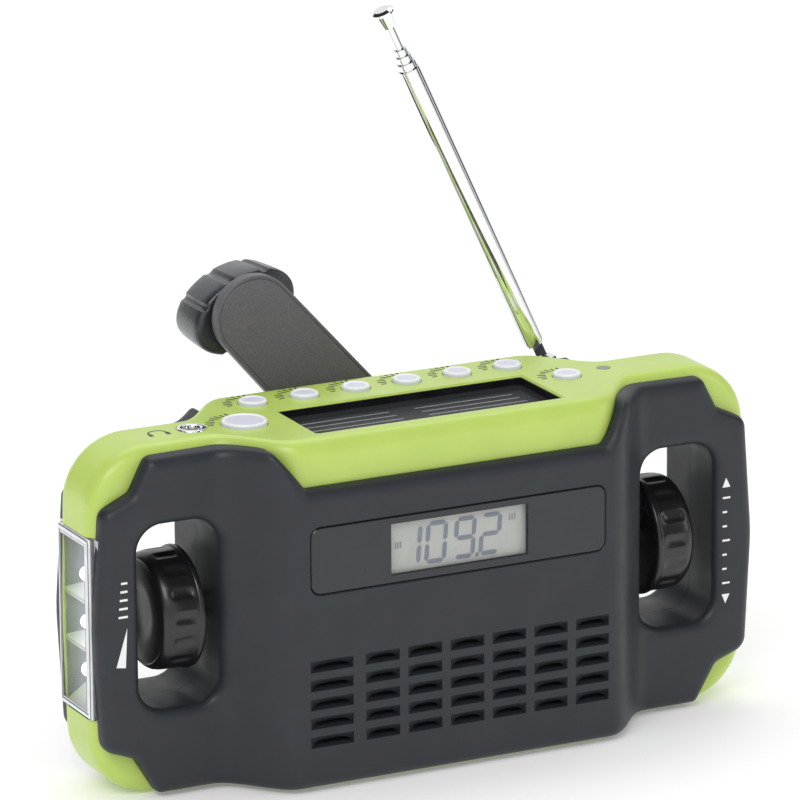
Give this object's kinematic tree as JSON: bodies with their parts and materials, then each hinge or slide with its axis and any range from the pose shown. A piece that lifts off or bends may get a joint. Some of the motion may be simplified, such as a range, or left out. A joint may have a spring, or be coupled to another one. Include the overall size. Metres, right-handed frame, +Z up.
{
  "type": "emergency radio",
  "caption": "Wind-up emergency radio with solar cell, torch, display, handle slots with thumb wheels, folding hand crank and telescopic antenna.",
  "frame": {"origin": "middle of the flat face that the radio stands on, on the middle plane of the housing", "axes": "+X to the right seen from the front, +Y from the front to the back, +Z up"},
  "size_m": [0.1632, 0.072, 0.1618],
  "materials": {
    "green_shell": "satin moulded plastic",
    "dark_cover": "soft-touch matt plastic",
    "smoked_window": "smoked acrylic",
    "display_glass": "reflective display glass",
    "backlight": "white diffuser",
    "clear_plastic": "clear polished plastic",
    "solar_silicon": "dark silicon under resin",
    "reflector_chrome": "vacuum-plated plastic",
    "led_white": "clear epoxy with white chip",
    "circuit_board": "solder-masked board",
    "component_black": "moulded component",
    "speaker_steel": "pressed steel",
    "speaker_paper": "black paper cone",
    "screen_cloth": "black woven screen",
    "magnet": "ferrite",
    "tray_black": "moulded plastic",
    "cell_sleeve": "shrink sleeve",
    "socket_white": "polished moulding",
    "led_black": "dark lens",
    "control_metal": "pressed steel",
    "screw_steel": "plated steel",
    "wheel_black": "gloss black plastic",
    "shaft_steel": "ground steel",
    "button_grey": "satin light grey plastic",
    "gear_white": "acetal",
    "gear_brass": "machined",
    "crank_dark": "fine speckled texture",
    "crank_knob": "textured plastic",
    "antenna_chrome": "polished chrome plate"
  },
  "bodies": {
    "case": {"centre_housing": "green_shell", "front_cover": "dark_cover", "rear_cover": "dark_cover", "display_window": "smoked_window", "lcd_panel": "display_glass", "lcd_backlight": "backlight", "lcd_holder": "backlight", "solar_window": "clear_plastic", "solar_cell": "solar_silicon", "torch_lens": "clear_plastic", "torch_reflector": "reflector_chrome", "torch_leds": "led_white", "torch_board": "circuit_board", "button_board": "circuit_board", "tact_switches": "component_black", "main_board": "circuit_board", "board_chips": "component_black", "speaker_frame": "speaker_steel", "speaker_cone": "speaker_paper", "speaker_magnet": "magnet", "dust_screen": "screen_cloth", "battery_tray": "tray_black", "battery_cells": "cell_sleeve", "headphone_socket": "socket_white", "charge_led": "led_black", "dc_socket": "component_black", "volume_control": "control_metal", "tuning_control": "control_metal", "dynamo_body": "control_metal", "gearbox_plate": "control_metal", "case_screws": "screw_steel"},
    "battery_door": {"battery_door": "dark_cover"},
    "volume": {"volume_wheel": "wheel_black", "volume_shaft": "shaft_steel"},
    "tuning": {"tuning_wheel": "wheel_black", "tuning_shaft": "shaft_steel"},
    "torch_button": {"torch_button": "button_grey"},
    "alarm_set_button": {"alarm_set_button": "button_grey"},
    "time_set_button": {"time_set_button": "button_grey"},
    "alarm_button": {"alarm_button": "button_grey"},
    "hour_button": {"hour_button": "button_grey"},
    "minute_button": {"minute_button": "button_grey"},
    "light_button": {"light_button": "button_grey"},
    "band_button": {"band_button": "button_grey"},
    "crank": {"crank_spindle": "shaft_steel", "drive_gear": "gear_white", "crank_hub": "crank_dark", "crank_hinge_pin": "shaft_steel"},
    "idler": {"idler_gear": "gear_white"},
    "dynamo_rotor": {"dynamo_gear": "gear_brass"},
    "crank_arm": {"crank_arm": "crank_dark", "crank_knob_pin": "shaft_steel"},
    "crank_knob": {"crank_knob": "crank_knob"},
    "antenna_base": {"antenna_stud": "antenna_chrome", "antenna_hinge_pin": "antenna_chrome"},
    "antenna_mast": {"antenna_tube_1": "antenna_chrome"},
    "antenna_section_2": {"antenna_tube_2": "antenna_chrome"},
    "antenna_section_3": {"antenna_tube_3": "antenna_chrome"},
    "antenna_section_4": {"antenna_tube_4": "antenna_chrome"},
    "antenna_rod": {"antenna_rod": "antenna_chrome"}
  },
  "joints": [
    {"name": "battery_door_lift", "type": "slide", "parent": "case", "child": "battery_door", "axis": [0, 1, 0], "range_m": [0, 0.03]},
    {"name": "volume_turn", "type": "hinge", "parent": "case", "child": "volume", "pos_m": [-0.0608, 0, 0.0392], "axis": [1, 0, 0], "range_deg": [-280, 0]},
    {"name": "tuning_turn", "type": "hinge", "parent": "case", "child": "tuning", "pos_m": [0.0608, 0, 0.0392], "axis": [1, 0, 0], "range_deg": [-150, 150]},
    {"name": "torch_press", "type": "slide", "parent": "case", "child": "torch_button", "axis": [0, 0, -1], "range_m": [0, 0.0006], "stiffness_N_per_m": 600},
    {"name": "alarm_set_press", "type": "slide", "parent": "case", "child": "alarm_set_button", "axis": [0, 0, -1], "range_m": [0, 0.0006], "stiffness_N_per_m": 600},
    {"name": "time_set_press", "type": "slide", "parent": "case", "child": "time_set_button", "axis": [0, 0, -1], "range_m": [0, 0.0006], "stiffness_N_per_m": 600},
    {"name": "alarm_press", "type": "slide", "parent": "case", "child": "alarm_button", "axis": [0, 0, -1], "range_m": [0, 0.0006], "stiffness_N_per_m": 600},
    {"name": "hour_press", "type": "slide", "parent": "case", "child": "hour_button", "axis": [0, 0, -1], "range_m": [0, 0.0006], "stiffness_N_per_m": 600},
    {"name": "minute_press", "type": "slide", "parent": "case", "child": "minute_button", "axis": [0, 0, -1], "range_m": [0, 0.0006], "stiffness_N_per_m": 600},
    {"name": "light_press", "type": "slide", "parent": "case", "child": "light_button", "axis": [0, 0, -1], "range_m": [0, 0.0006], "stiffness_N_per_m": 600},
    {"name": "band_press", "type": "slide", "parent": "case", "child": "band_button", "axis": [0, 0, -1], "range_m": [0, 0.0006], "stiffness_N_per_m": 600},
    {"name": "crank_turn", "type": "hinge", "parent": "case", "child": "crank", "pos_m": [0.0067, 0.0235, 0.059], "axis": [0, 1, 0], "continuous": true},
    {"name": "idler_turn", "type": "hinge", "parent": "case", "child": "idler", "pos_m": [-0.00739, 0.014, 0.05387], "axis": [0, 1, 0], "continuous": true},
    {"name": "dynamo_turn", "type": "hinge", "parent": "case", "child": "dynamo_rotor", "pos_m": [-0.023, 0.012, 0.05387], "axis": [0, 1, 0], "continuous": true},
    {"name": "crank_fold", "type": "hinge", "parent": "crank", "child": "crank_arm", "pos_m": [0.00274, 0.0274, 0.0635], "axis": [-0.7507, 0, -0.6607], "range_deg": [0, 135]},
    {"name": "crank_knob_turn", "type": "hinge", "parent": "crank_arm", "child": "crank_knob", "pos_m": [-0.02356, 0.04, 0.09338], "axis": [0, 1, 0], "continuous": true},
    {"name": "antenna_swivel", "type": "hinge", "parent": "case", "child": "antenna_base", "pos_m": [0.0467, 0.0243, 0.074], "axis": [0, 1, 0], "range_deg": [-65, 90]},
    {"name": "antenna_tilt", "type": "hinge", "parent": "antenna_base", "child": "antenna_mast", "pos_m": [0.0467, 0.0243, 0.074], "axis": [-0.9063, 0, -0.4226], "range_deg": [0, 90]},
    {"name": "antenna_slide_section_2", "type": "slide", "parent": "antenna_mast", "child": "antenna_section_2", "axis": [-0.4226, 0, 0.9063], "range_m": [0, 0.062]},
    {"name": "antenna_slide_section_3", "type": "slide", "parent": "antenna_section_2", "child": "antenna_section_3", "axis": [-0.4226, 0, 0.9063], "range_m": [0, 0.06]},
    {"name": "antenna_slide_section_4", "type": "slide", "parent": "antenna_section_3", "child": "antenna_section_4", "axis": [-0.4226, 0, 0.9063], "range_m": [0, 0.058]},
    {"name": "antenna_slide_rod", "type": "slide", "parent": "antenna_section_4", "child": "antenna_rod", "axis": [-0.4226, 0, 0.9063], "range_m": [0, 0.062]}
  ],
  "couplings": [
    {"joint": "idler_turn", "follows": "crank_turn", "ratio": -3.1667},
    {"joint": "dynamo_turn", "follows": "crank_turn", "ratio": 10.556}
  ]
}
